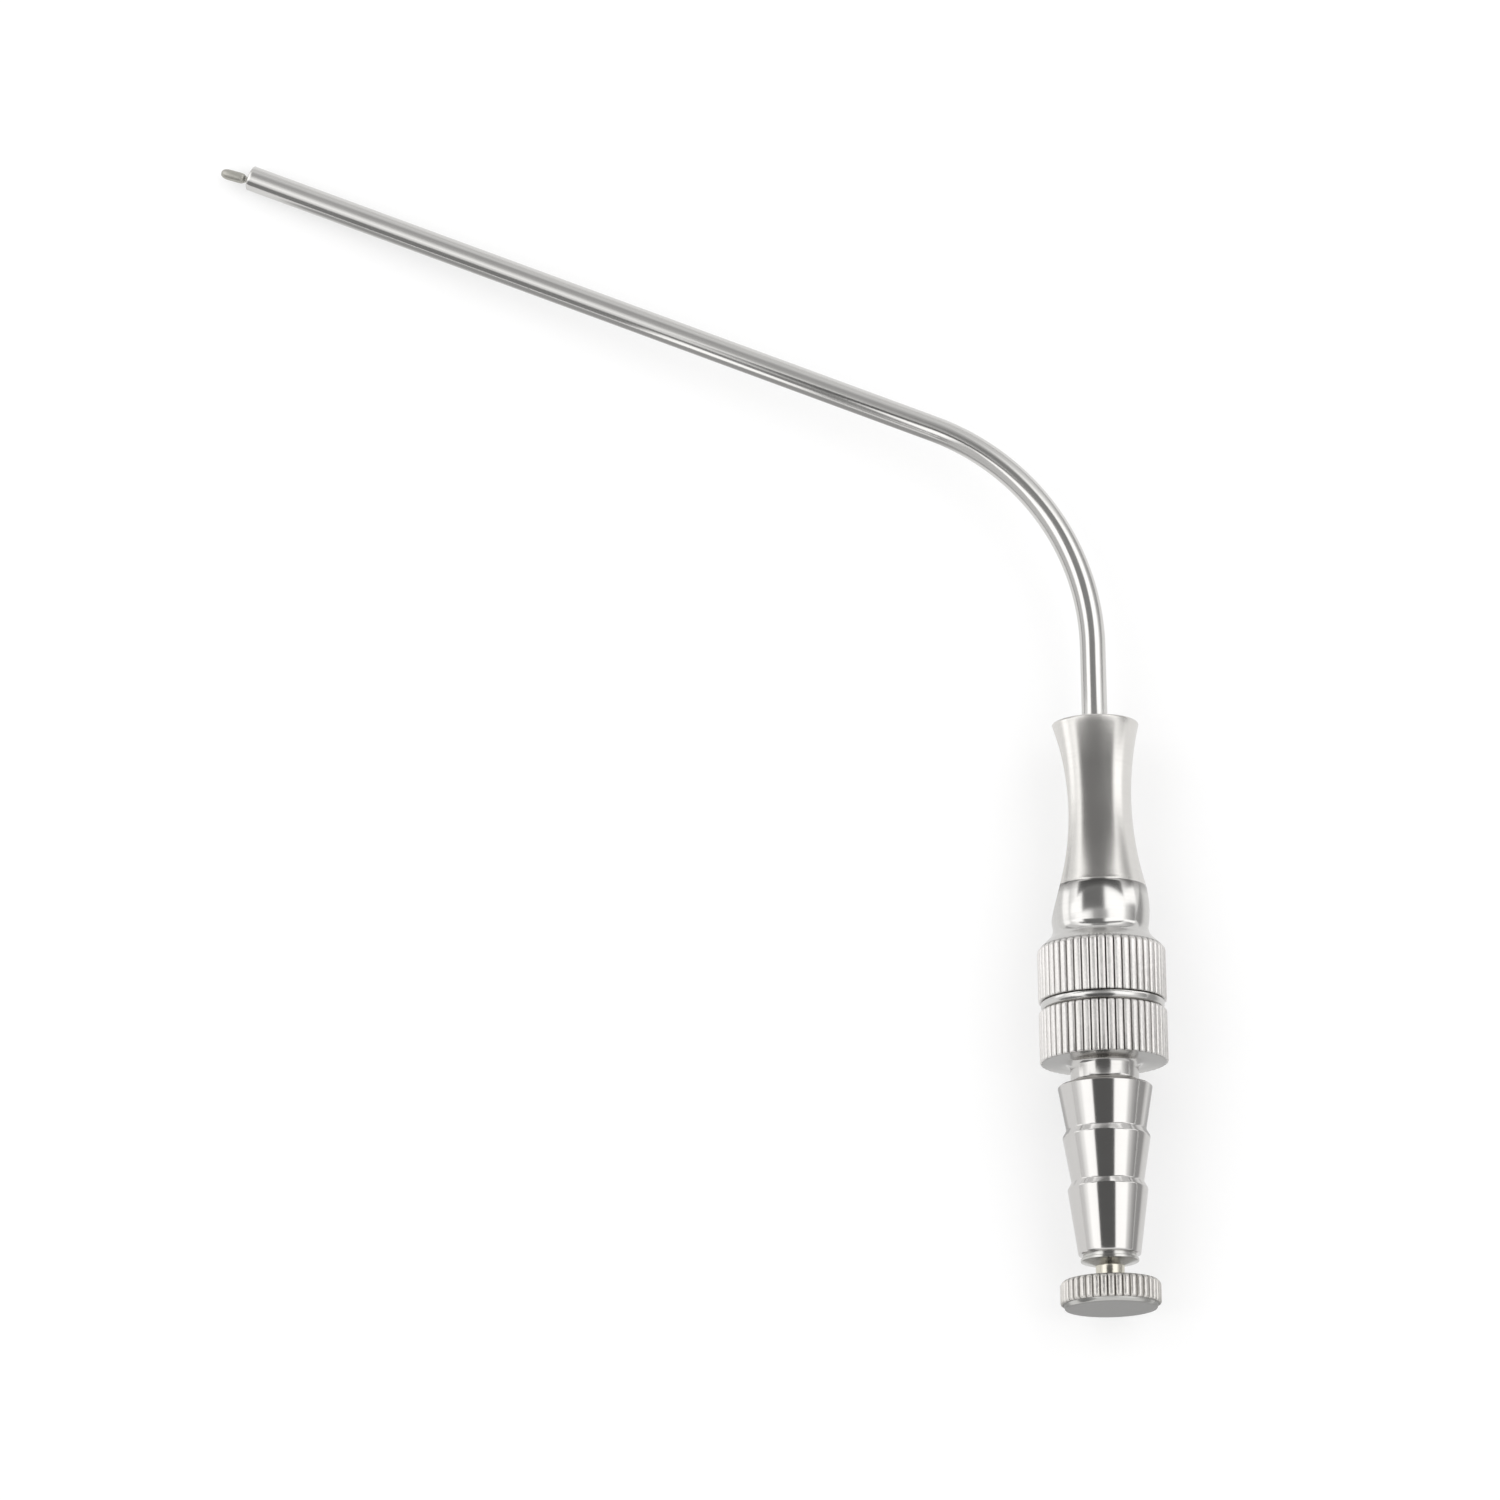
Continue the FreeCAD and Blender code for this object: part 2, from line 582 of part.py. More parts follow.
# Placing: the pieces stand along the handle's axis, measured from the screwed joint
tube_foot = value(seat_y)
_, _, bend_end, mouth_in_tube = bend_points(value("tube_insertion + tube_straight"), value("tube_reach"))
tip_foot = mouth_in_tube - (mouth_in_tube - bend_end).normalize() * value("tip_shank") + at(0, tube_foot)
tip_turn = FreeCAD.Rotation(FreeCAD.Vector(0, 0, 1), value("bend_angle + tip_slope"))
knob_foot = value(knob_seat) + value(connector_height)
upright = FreeCAD.Rotation()
stands = {
    suction_tube: FreeCAD.Placement(at(0, tube_foot), upright),
    handle: FreeCAD.Placement(at(0, 0), upright),
    hose_connector: FreeCAD.Placement(at(0, -value(connector_height)), upright),
    stylet_knob: FreeCAD.Placement(at(0, -knob_foot), upright),
    stylet_wire: FreeCAD.Placement(at(0, value(plug_top + " - wire_socket") - knob_foot), upright),
    stylet_tip: FreeCAD.Placement(tip_foot, tip_turn),
}

# At rest the collar lies on the table along a ridge and the tube dips until its mouth touches too.
side_reach = -mouth_in_tube.x
dip = math.degrees(math.asin(value("collar_radius - tube_radius") / side_reach))
lying = FreeCAD.Placement(at(0, 0), FreeCAD.Rotation(FreeCAD.Vector(0, 1, 0), -dip))


def lay_down(shift):
    for body, stand in stands.items():
        body.Placement = FreeCAD.Placement(shift, upright).multiply(lying).multiply(stand)
    doc.recompute()


lay_down(at(0, 0))
extent = Part.makeCompound([body.Shape for body in stands]).optimalBoundingBox(False, False)
lay_down(FreeCAD.Vector(-extent.Center.x, -extent.Center.y, -extent.ZMin))

# Every feature and every solid is tested before anything is written.
failed = [item.Name for item in doc.Objects if {"Invalid", "Error"} & set(item.State)]
if failed:
    raise RuntimeError("failed objects: " + ", ".join(failed))
for body in stands:
    shape = body.Shape
    if shape.isNull() or not shape.isValid() or len(shape.Solids) != 1:
        raise RuntimeError("bad shape: " + body.Label)
    shape.exportStep(f"parts/{body.Label}.step")
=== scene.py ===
# Angled steel suction tube with its stylet pushed home, lying on a white table and seen from above.
# Lengths are in millimetres, times MM. Places along the handle are counted from the screwed joint.

import bmesh
import bpy
import math
import numpy
import random
from mathutils import Matrix, Vector


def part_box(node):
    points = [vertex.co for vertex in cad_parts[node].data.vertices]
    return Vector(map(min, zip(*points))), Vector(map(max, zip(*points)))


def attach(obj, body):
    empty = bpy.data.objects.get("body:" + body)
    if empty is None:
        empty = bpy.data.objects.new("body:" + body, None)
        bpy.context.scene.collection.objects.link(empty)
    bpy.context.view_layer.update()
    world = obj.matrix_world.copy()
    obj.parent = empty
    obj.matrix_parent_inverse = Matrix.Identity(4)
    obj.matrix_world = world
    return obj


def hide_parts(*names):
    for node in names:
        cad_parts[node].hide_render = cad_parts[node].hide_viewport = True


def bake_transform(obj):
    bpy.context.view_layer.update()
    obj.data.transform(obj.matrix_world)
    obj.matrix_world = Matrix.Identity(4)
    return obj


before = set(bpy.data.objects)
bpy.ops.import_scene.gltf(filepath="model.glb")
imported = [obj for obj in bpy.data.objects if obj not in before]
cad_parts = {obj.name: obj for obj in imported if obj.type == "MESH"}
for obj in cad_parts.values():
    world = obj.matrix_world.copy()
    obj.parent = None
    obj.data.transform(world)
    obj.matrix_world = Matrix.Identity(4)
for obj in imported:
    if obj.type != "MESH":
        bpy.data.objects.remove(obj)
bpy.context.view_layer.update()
bpy.ops.object.select_all(action="DESELECT")

# Suction tube: thin-walled stainless tube, drawn and polished lengthwise and bent cold round a former.
# Its foot is brazed into the handle, and the outer edge of its mouth is broken.
MM = 0.001
HANDLE_LENGTH = 34.2
KNOB_LOW, KNOB_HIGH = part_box("stylet_knob")
JOINT = Vector((
    (KNOB_LOW[0] + KNOB_HIGH[0]) / 2,
    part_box("handle")[1][1] - HANDLE_LENGTH * MM,
    (KNOB_LOW[2] + KNOB_HIGH[2]) / 2,
))
# The thick collar and the thin tube's mouth both rest on the table, so the bend dips towards the mouth.
DIP = math.radians(3.4214)
LYING = Matrix.Translation(JOINT) @ Matrix.Rotation(-DIP, 4, "Y")
BEND_ANGLE = math.radians(66.5)
BEND_RADIUS = 30.0
BEND_PLACE = 43.4
BEND_STEPS = 64
TUBE_REACH = 88.5
TUBE_RADIUS = 1.5
TUBE_BORE = 1.2
TUBE_FOOT = 26.2
TUBE_POINTS = 96
RIM_LENGTH = 0.42
INNER_EDGE = 0.33
WELD_GAP = 0.003
DRAWN_SMOOTHING = 40.0


def lying(x, y, z=0.0):
    """World place of a point given beside, along and above the handle's axis."""
    return LYING @ Vector((x * MM, y * MM, z * MM))


def take(name):
    """The object that an operator has just made, under its own name."""
    piece = bpy.context.object
    piece.name = piece.data.name = name
    return piece


def start_ring(name, points, place, radius, filled=False):
    """Opens a ring or disc round the handle's axis in edit mode. Its points keep their column's number."""
    bpy.ops.mesh.primitive_circle_add(
        vertices=points, radius=radius * MM, location=lying(0, place), rotation=(math.pi / 2, -DIP, 0),
    )
    piece = take(name)
    bpy.ops.object.mode_set(mode="EDIT")
    mesh = bmesh.from_edit_mesh(piece.data)
    column = mesh.verts.layers.int.new("column")
    mesh.verts.layers.int.new("ring")
    for number, point in enumerate(mesh.verts):
        point[column] = number
    if filled:
        bpy.ops.mesh.edge_face_add()
        bpy.ops.mesh.select_mode(type="VERT")
    return piece


def close_piece(piece, smooth_degrees):
    """Welds the piece, turns its faces outwards and leaves it smooth between its edges."""
    bpy.ops.object.mode_set(mode="EDIT")
    bpy.ops.mesh.select_all(action="SELECT")
    bpy.ops.mesh.remove_doubles(threshold=WELD_GAP * MM)
    bpy.ops.mesh.normals_make_consistent(inside=False)
    bpy.ops.object.mode_set(mode="OBJECT")
    bpy.ops.object.transform_apply(location=True, rotation=True, scale=True)
    bpy.ops.object.shade_smooth_by_angle(angle=math.radians(smooth_degrees))


def extrude(way):
    """Extrudes what is selected by a way in metres."""
    bpy.ops.mesh.extrude_region_move(TRANSFORM_OT_translate={"value": way})


def spin_round_bend(angle):
    """Spins the selected ring round the centre of the bend."""
    bpy.ops.mesh.spin(
        steps=BEND_STEPS, angle=angle, center=lying(-BEND_RADIUS, BEND_PLACE),
        axis=LYING.to_3x3() @ Vector((0, 0, 1)),
    )


def run_bent(start, reach):
    """Runs the selected ring on to the bend, round it and straight on."""
    extrude((0, (BEND_PLACE - start) * MM, 0))
    spin_round_bend(-BEND_ANGLE)
    onwards = LYING.to_3x3() @ Vector((-math.sin(BEND_ANGLE), math.cos(BEND_ANGLE), 0))
    extrude(onwards * reach * MM)
    return onwards


def add(tree, kind, links=None, values=None, **settings):
    """Adds a node with its settings, with values on its sockets and with links from other sockets."""
    made = tree.nodes.new("ShaderNode" + kind)
    for name, setting in settings.items():
        setattr(made, name, setting)
    for socket, number in (values or {}).items():
        made.inputs[socket].default_value = number
    for socket, source in (links or {}).items():
        tree.links.new(source, made.inputs[socket])
    return made


def new_group(name, inputs, outputs):
    """A shader group with named sockets, and its two inner ends."""
    group = bpy.data.node_groups.new(name, "ShaderNodeTree")
    for direction, sockets in (("INPUT", inputs), ("OUTPUT", outputs)):
        for socket, kind in sockets.items():
            group.interface.new_socket(name=socket, in_out=direction, socket_type="NodeSocket" + kind)
    return group, group.nodes.new("NodeGroupInput").outputs, group.nodes.new("NodeGroupOutput").inputs


# Worked steel: fine tool or polishing lines, and the soft blotches that handling and cleaning leave
worked_steel, given, wanted = new_group(
    "worked_steel",
    {"Lines": "Vector", "Place": "Vector", "Color": "Color", "Roughness": "Float", "Line Tone": "Float"},
    {"Color": "Color", "Roughness": "Float", "Height": "Float"},
)
tree = worked_steel
lines = add(tree, "TexNoise", {"Vector": given["Lines"]}, {"Scale": 1.0, "Detail": 4.0, "Roughness": 0.65})
blotches = add(tree, "TexNoise", {"Vector": given["Place"]}, {"Scale": 260.0, "Detail": 3.0})
line_tone = add(tree, "Math", {0: lines.outputs["Fac"]}, {1: -0.5}, operation="ADD")
line_tone = add(tree, "Math", {0: line_tone.outputs[0], 1: given["Line Tone"]}, operation="MULTIPLY")
blotch_tone = add(tree, "MapRange", {"Value": blotches.outputs["Fac"]}, {"To Min": 0.97, "To Max": 1.03})
tone = add(tree, "Math", {0: line_tone.outputs[0], 1: blotch_tone.outputs[0]}, operation="ADD")
toned = add(tree, "VectorMath", {0: given["Color"], "Scale": tone.outputs[0]}, operation="SCALE")
tree.links.new(toned.outputs[0], wanted["Color"])
dulled = add(tree, "MapRange", {"Value": blotches.outputs["Fac"]}, {"To Min": 0.85, "To Max": 1.15})
rough = add(tree, "Math", {0: given["Roughness"], 1: dulled.outputs[0]}, operation="MULTIPLY")
tree.links.new(rough.outputs[0], wanted["Roughness"])
tree.links.new(lines.outputs["Fac"], wanted["Height"])


def steel_shader(name):
    """A bare steel material with its shader and its place on the object."""
    material = bpy.data.materials.new(name)
    material.use_nodes = True
    tree = material.node_tree
    shader = tree.nodes["Principled BSDF"]
    shader.inputs["Metallic"].default_value = 1.0
    return material, tree, shader, add(tree, "TexCoord").outputs["Object"]


def finish_steel(tree, shader, worked, strength, depth):
    """Puts a worked surface's colour, roughness and relief on the shader."""
    tree.links.new(worked.outputs["Color"], shader.inputs["Base Color"])
    tree.links.new(worked.outputs["Roughness"], shader.inputs["Roughness"])
    relief = add(
        tree, "Bump", {"Height": worked.outputs["Height"]}, {"Strength": strength, "Distance": depth * MM},
    )
    tree.links.new(relief.outputs[0], shader.inputs["Normal"])


tube = start_ring("drawn_suction_tube", TUBE_POINTS, TUBE_FOOT, TUBE_RADIUS)
onwards = run_bent(TUBE_FOOT, TUBE_REACH - RIM_LENGTH)
mouth = lying(-BEND_RADIUS * (1 - math.cos(BEND_ANGLE)), BEND_PLACE + BEND_RADIUS * math.sin(BEND_ANGLE))
mouth += onwards * TUBE_REACH * MM
# The first and last of these steps are holding rings, which keep the tube's shading straight up to its rim.
rim_steps = [
    (0.3, TUBE_RADIUS), (0.02, 1.49), (0.04, 1.455), (0.05, 1.4), (0.01, 1.36), (0.0, 1.23),
    (-0.03, TUBE_BORE), (-0.3, TUBE_BORE),
]
ring_radius = TUBE_RADIUS
for step, radius in rim_steps:
    size = radius / ring_radius
    extrude(onwards * step * MM)
    bpy.ops.transform.resize(value=(size, size, size), center_override=mouth)
    ring_radius = radius
extrude(onwards * (INNER_EDGE - TUBE_REACH) * MM)
spin_round_bend(BEND_ANGLE)
extrude((0, (TUBE_FOOT - BEND_PLACE) * MM, 0))
bpy.ops.mesh.select_mode(type="EDGE")
bpy.ops.mesh.select_all(action="DESELECT")
bpy.ops.mesh.select_non_manifold()
bpy.ops.mesh.bridge_edge_loops()
close_piece(tube, DRAWN_SMOOTHING)

# The draw lines follow the bent tube, so each point keeps its place across the tube and along it.
drawn = numpy.empty((len(tube.data.vertices), 3), dtype=numpy.float32)
bend_centre = Vector((-BEND_RADIUS * MM, BEND_PLACE * MM, 0))
for number, point in enumerate(tube.data.vertices):
    flat = LYING.inverted() @ point.co
    turned = math.atan2(flat.y - bend_centre.y, flat.x - bend_centre.x)
    if turned <= 0:
        across, along = flat.x, flat.y
    elif turned < BEND_ANGLE:
        across = (flat - bend_centre).to_2d().length - BEND_RADIUS * MM
        along = bend_centre.y + turned * BEND_RADIUS * MM
    else:
        straight = Matrix.Rotation(-BEND_ANGLE, 4, "Z") @ (flat - bend_centre)
        across = straight.x - BEND_RADIUS * MM
        along = bend_centre.y + BEND_ANGLE * BEND_RADIUS * MM + straight.y
    drawn[number] = (across, along, flat.z)
tube.data.attributes.new("drawn", "FLOAT_VECTOR", "POINT").data.foreach_set("vector", drawn.ravel())

tube_steel, tree, shader, place = steel_shader("drawn_tube_steel")
along_tube = add(tree, "Attribute", attribute_name="drawn").outputs["Vector"]
draw_lines = add(tree, "Mapping", {"Vector": along_tube}, {"Scale": (5200, 90, 5200)})
worked = add(
    tree, "Group", node_tree=worked_steel, links={"Lines": draw_lines.outputs[0], "Place": along_tube},
    values={"Color": (0.6, 0.592, 0.577, 1), "Roughness": 0.17, "Line Tone": 0.16},
)
finish_steel(tree, shader, worked, 0.15, 0.003)
tube.data.materials.append(tube_steel)
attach(tube, "root")
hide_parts("suction_tube")

# Handle: turned from stainless bar, with a hollow satin waist, a thumb scoop, a polished bulge and half of
# the knurled collar. The flutes are pressed in with a wheel, so they are a little uneven.
COLLAR_POINTS = 480
COLLAR_CREST = 7.42
COLLAR_FLUTE = (0.42, 0.126, 0.048, 0.011, 0.0, 0.0)
COLLAR_VALLEY = COLLAR_CREST - COLLAR_FLUTE[0]
KNURL_RADIUS = 6.99
PER_FLUTE = 10
RIDGE_REACH = 2
RIDGE_SHIFT = 0.28
VALLEY_FILL = 0.35
TURNED_SMOOTHING = 28.0
HANDLE_BORE = 1.9
BRAZED_RADIUS = 1.51
SPIGOT_HOLE = 4.2
SPIGOT_DEPTH = 7.0
RIDGES_START = 1.055
SATIN_EDGE = 14.5
SCOOP_PLACE = HANDLE_LENGTH - 11.0
SCOOP_FLOOR = 3.2
SCOOP_CURVE = 34.0
SCOOP_CUTTER_WIDTH = 16.0
VENT_RADIUS = 1.3
VENT_CUTTER_LENGTH = 6.0
VENT_CUTTER_MIDDLE = 4.0


def on_ring(piece, number, columns, per_flute):
    """Selects the points of one ring whose columns are that far from the nearest valley."""
    mesh = bmesh.from_edit_mesh(piece.data)
    column = mesh.verts.layers.int["column"]
    ring = mesh.verts.layers.int["ring"]
    for point in mesh.verts:
        from_valley = point[column] % per_flute
        point.select = point[ring] == number and min(from_valley, per_flute - from_valley) in columns
    mesh.select_flush_mode()


def resize_round(size, middle):
    """Resizes what is selected square to the handle's axis."""
    bpy.ops.transform.resize(value=(size, 1, size), center_override=middle)


def turn_profile(piece, start, profile, flute=(0.0,)):
    """Turns a profile of rings from a start. Where a ring has a floor, the flutes are pressed in to it."""
    per_flute = max(1, 2 * (len(flute) - 1))
    place, radius = start
    now = [radius] * len(flute)
    for count, (next_place, crest, floor) in enumerate(profile, start=1):
        extrude((0, (next_place - place) * MM, 0))
        mesh = bmesh.from_edit_mesh(piece.data)
        ring = mesh.verts.layers.int["ring"]
        for point in mesh.verts:
            if point.select:
                point[ring] = count
        wanted = [crest if floor is None else min(crest, max(floor, crest - depth)) for depth in flute]
        middle = lying(0, next_place)
        if len(set(now)) == 1 and len(set(wanted)) == 1:
            resize_round(wanted[0] / now[0], middle)
        else:
            for number, (before, after) in enumerate(zip(now, wanted)):
                if abs(after - before) > 1e-6:
                    on_ring(piece, count, (number,), per_flute)
                    resize_round(after / before, middle)
            on_ring(piece, count, range(len(flute)), per_flute)
        place, now = next_place, wanted


def rings(points, floor=None):
    """Rings of a profile as (place, radius, floor of the flutes), with no floor where they are smooth."""
    return [(place, radius, floor) for place, radius in points]


def arc_rings(centre_place, centre_radius, radius, first, last, count, side=1):
    """Smooth rings along an arc of the profile, from one place to another."""
    points = []
    for step in range(1, count + 1):
        place = first + (last - first) * step / count
        points.append((place, centre_radius + side * math.sqrt(radius ** 2 - (place - centre_place) ** 2)))
    return rings(points)


handle = start_ring("turned_handle", COLLAR_POINTS, 0, SPIGOT_HOLE)
# Notch at the joint and the smooth ring, which is undercut where the flutes begin
handle_profile = rings([
    (0, 6.74), (0.03, 6.83), (0.17, 7.03), (0.23, 7.08), (0.55, 7.15), (0.78, 7.17), (0.9, 7.14),
    (0.98, 7.06), (1.03, 6.97), (1.05, 6.92),
])
# Knurled band and the slope above it
handle_profile += rings([
    (1.06, 7.3), (1.08, 7.36), (1.13, 7.4), (1.24, 7.42), (4.0, 7.42), (6.9, 7.42), (7.02, 7.41),
    (7.1, 7.37), (7.18, 7.31), (7.3, 7.21), (7.42, 7.1),
], COLLAR_VALLEY)
handle_profile += rings([(7.54, 6.98), (7.8, 6.72), (8.1, 6.42), (8.35, 6.17)])
# Hollow neck, bulge, the small step where the satin begins, and the waist
handle_profile += arc_rings(9.634, 7.148, 1.6, 8.5, 9.88, 12, side=-1)
handle_profile += arc_rings(11.867, -7.28, 13.0, 9.88, 14.46, 18)
handle_profile += rings([(SATIN_EDGE, 5.43)])
handle_profile += arc_rings(11.867, -7.3, 13.0, 14.52, 15.2, 3)
handle_profile += arc_rings(25.0, 41.98, 38.0, 15.4, 33.8, 36, side=-1)
# Rim, fillet of brazing round the tube, and the stepped bore back to the joint
handle_profile += rings([
    (33.93, 5.055), (34.04, 5.03), (34.13, 4.96), (34.18, 4.86), (HANDLE_LENGTH, 4.74), (HANDLE_LENGTH, 3.4),
    (HANDLE_LENGTH, 1.95), (34.23, 1.76), (34.29, 1.62), (34.4, 1.535), (34.41, BRAZED_RADIUS),
    (TUBE_FOOT, BRAZED_RADIUS), (TUBE_FOOT, HANDLE_BORE), (SPIGOT_DEPTH, HANDLE_BORE),
    (SPIGOT_DEPTH, SPIGOT_HOLE), (0, SPIGOT_HOLE),
])
turn_profile(handle, (0, SPIGOT_HOLE), handle_profile, COLLAR_FLUTE)


def press_unevenly(piece, seed, lowest, highest, crest, deep):
    """Fills some valleys of a band and shifts its ridges to either side, as a worn wheel leaves them."""
    chance = random.Random(seed)
    shifts = [chance.choice((-3, -2, -1, 0, 0, 1, 2, 3)) for _ in range(60)]
    fills = [chance.choice((0, 0, 0, 1, 2, 2)) for _ in range(60)]
    end_margin = 0.1
    valley_margin = 0.01
    ridge_depth = 0.5

    def select_points(wanted):
        """Selects the points that a test of their column, place and radius wants."""
        mesh = bmesh.from_edit_mesh(piece.data)
        column = mesh.verts.layers.int["column"]
        for point in mesh.verts:
            place = (point.co.y - JOINT.y) / MM
            radius = math.hypot(point.co.x - JOINT.x, point.co.z - JOINT.z) / MM
            point.select = wanted(point[column], place, radius)
        mesh.select_flush_mode()

    for fill in (1, 2):
        select_points(lambda column, place, radius: (
            lowest + end_margin < place < highest - end_margin and abs(radius - crest + deep) < valley_margin
            and column % PER_FLUTE == 0 and fills[column // PER_FLUTE] == fill
        ))
        resize_round((crest - deep * (1 - VALLEY_FILL * fill)) / (crest - deep), JOINT)
    for shift in (-3, -2, -1, 1, 2, 3):
        select_points(lambda column, place, radius: (
            (column + RIDGE_REACH) % PER_FLUTE <= 2 * RIDGE_REACH
            and shifts[(column + RIDGE_REACH) // PER_FLUTE] == shift
            and lowest < place < highest and radius > crest - ridge_depth
        ))
        bpy.ops.transform.rotate(
            value=math.radians(RIDGE_SHIFT * shift), orient_axis="Y", center_override=JOINT,
        )


press_unevenly(handle, 3, RIDGES_START, 7.5, COLLAR_CREST, COLLAR_FLUTE[0])
close_piece(handle, TURNED_SMOOTHING)


def cut_away(piece, cutter):
    """Cuts one piece with another and throws the cutter away."""
    bpy.ops.object.select_all(action="DESELECT")
    piece.select_set(True)
    bpy.context.view_layer.objects.active = piece
    cut = piece.modifiers.new("cut", "BOOLEAN")
    cut.operation = "DIFFERENCE"
    cut.solver = "MANIFOLD"
    cut.object = cutter
    bpy.ops.object.modifier_apply(modifier=cut.name)
    bpy.data.objects.remove(cutter)


bpy.ops.object.select_all(action="DESELECT")
bpy.ops.mesh.primitive_cylinder_add(
    vertices=720, radius=SCOOP_CURVE * MM, depth=SCOOP_CUTTER_WIDTH * MM,
    location=lying(-SCOOP_FLOOR - SCOOP_CURVE, SCOOP_PLACE), rotation=(0, -DIP, 0),
)
cut_away(handle, take("scoop_cutter"))
bpy.ops.mesh.primitive_cylinder_add(
    vertices=96, radius=VENT_RADIUS * MM, depth=VENT_CUTTER_LENGTH * MM,
    location=lying(-VENT_CUTTER_MIDDLE, SCOOP_PLACE), rotation=(0, math.pi / 2 - DIP, 0),
)
cut_away(handle, take("vent_cutter"))
bpy.ops.object.shade_smooth_by_angle(angle=math.radians(TURNED_SMOOTHING))
handle.data.materials.clear()

# Knurled steel: a sparkling grain on the ridges, which dulls down in the valleys, where painted shade
# darkens the colour by depth
knurled_steel, given, wanted = new_group(
    "knurled_steel",
    {"Place": "Vector", "Radius": "Float", "Crest": "Float", "Depth": "Float", "Color": "Color"},
    {"Color": "Color", "Roughness": "Float", "Height": "Float"},
)
tree = knurled_steel
stretched = add(tree, "VectorMath", {0: given["Place"]}, {1: (5200, 2300, 5200)}, operation="MULTIPLY")
sparkle = add(
    tree, "TexNoise", {"Vector": stretched.outputs[0]}, {"Scale": 1.0, "Detail": 3.0, "Roughness": 0.7},
)
# Painted shade: from 30% of a flute's depth down to its floor, the colour darkens to 0.42 of itself.
below = add(tree, "Math", {0: given["Crest"], 1: given["Radius"]}, operation="SUBTRACT")
depth = add(tree, "Math", {0: below.outputs[0], 1: given["Depth"]}, operation="DIVIDE", use_clamp=True)
shade = add(tree, "MapRange", {"Value": depth.outputs[0]}, {"From Min": 0.3, "To Min": 1.0, "To Max": 0.42})
fleck = add(
    tree, "MapRange", {"Value": sparkle.outputs["Fac"]},
    {"From Min": 0.3, "From Max": 0.7, "To Min": 0.86, "To Max": 1.12},
)
both = add(tree, "Math", {0: shade.outputs[0], 1: fleck.outputs[0]}, operation="MULTIPLY")
shaded = add(tree, "VectorMath", {0: given["Color"], "Scale": both.outputs[0]}, operation="SCALE")
tree.links.new(shaded.outputs[0], wanted["Color"])
matt = add(
    tree, "MapRange", {"Value": sparkle.outputs["Fac"]},
    {"From Min": 0.3, "From Max": 0.7, "To Min": 0.3, "To Max": 0.48},
)
tree.links.new(matt.outputs[0], wanted["Roughness"])
tree.links.new(sparkle.outputs["Fac"], wanted["Height"])


def round_axis(tree, place):
    """Place from the joint, radius and place along the handle's axis, all in metres."""
    centred = add(tree, "VectorMath", {0: place}, {1: JOINT}, operation="SUBTRACT")
    flat = add(tree, "VectorMath", {0: centred.outputs[0]}, {1: (1, 0, 1)}, operation="MULTIPLY")
    radius = add(tree, "VectorMath", {0: flat.outputs[0]}, operation="LENGTH").outputs["Value"]
    along = add(tree, "SeparateXYZ", {0: centred.outputs[0]}).outputs["Y"]
    return centred.outputs[0], radius, along


def beyond(tree, number, limit, softness=0.02):
    """1 where a number of millimetres is past a limit, 0 before it."""
    step = add(
        tree, "MapRange", {"Value": number},
        {"From Min": (limit - softness) * MM, "From Max": (limit + softness) * MM},
    )
    return step.outputs[0]


def in_both(tree, one, other):
    """1 where two masks are 1."""
    return add(tree, "Math", {0: one, 1: other}, operation="MULTIPLY").outputs[0]


def feed(tree, source, socket):
    """Gives a socket a number or a colour, or links another socket to it."""
    if isinstance(source, float):
        socket.default_value = source
    elif isinstance(source, tuple):
        socket.default_value = (*source, 1)
    else:
        tree.links.new(source, socket)


def mix(tree, share, low, high, kind="FLOAT"):
    """A value or a colour that goes over to a second one where the share is 1."""
    mixed = add(tree, "Mix", {"Factor": share}, data_type=kind)
    feed(tree, low, mixed.inputs["A"])
    feed(tree, high, mixed.inputs["B"])
    return mixed.outputs["Result"]


def finish_knurled(tree, shader, worked, knurled, on_ridges, line_height, grain_height):
    """Puts a worked surface on the shader, with a knurled one on its ridges, and the relief of both."""
    colour = mix(tree, on_ridges, worked.outputs["Color"], knurled.outputs["Color"], "RGBA")
    tree.links.new(colour, shader.inputs["Base Color"])
    roughness = mix(tree, on_ridges, worked.outputs["Roughness"], knurled.outputs["Roughness"])
    tree.links.new(roughness, shader.inputs["Roughness"])
    lines = add(tree, "Math", {0: worked.outputs["Height"]}, operation="MULTIPLY")
    feed(tree, line_height, lines.inputs[1])
    grain = add(tree, "Math", {0: knurled.outputs["Height"]}, {1: grain_height}, operation="MULTIPLY")
    height = mix(tree, on_ridges, lines.outputs[0], grain.outputs[0])
    relief = add(tree, "Bump", {"Height": height}, {"Strength": 0.6, "Distance": 0.003 * MM})
    tree.links.new(relief.outputs[0], shader.inputs["Normal"])


handle_steel, tree, shader, place = steel_shader("satin_and_polished_handle_steel")
centred, radius, along = round_axis(tree, place)
on_waist = beyond(tree, along, SATIN_EDGE + 0.01)
# The polished bulge turns dark over the 1.2 mm under the satin edge: this band is a painted dark reflection.
painted_reflection_share = beyond(tree, along, 13.9, 0.6)
polished_with_painted_dark_reflection = mix(tree, painted_reflection_share, (0.57, 0.562, 0.548), (0.25, 0.243, 0.236), "RGBA")
on_ridges = in_both(tree, beyond(tree, radius, KNURL_RADIUS), beyond(tree, along, RIDGES_START))
tool_lines = add(tree, "Mapping", {"Vector": centred}, {"Scale": (110, 6500, 110)})
worked = add(
    tree, "Group", node_tree=worked_steel, values={"Line Tone": 0.16},
    links={
        "Lines": tool_lines.outputs[0], "Place": centred,
        "Color": mix(tree, on_waist, polished_with_painted_dark_reflection, (0.65, 0.635, 0.612), "RGBA"),
        "Roughness": mix(tree, on_waist, 0.17, 0.25),
    },
)
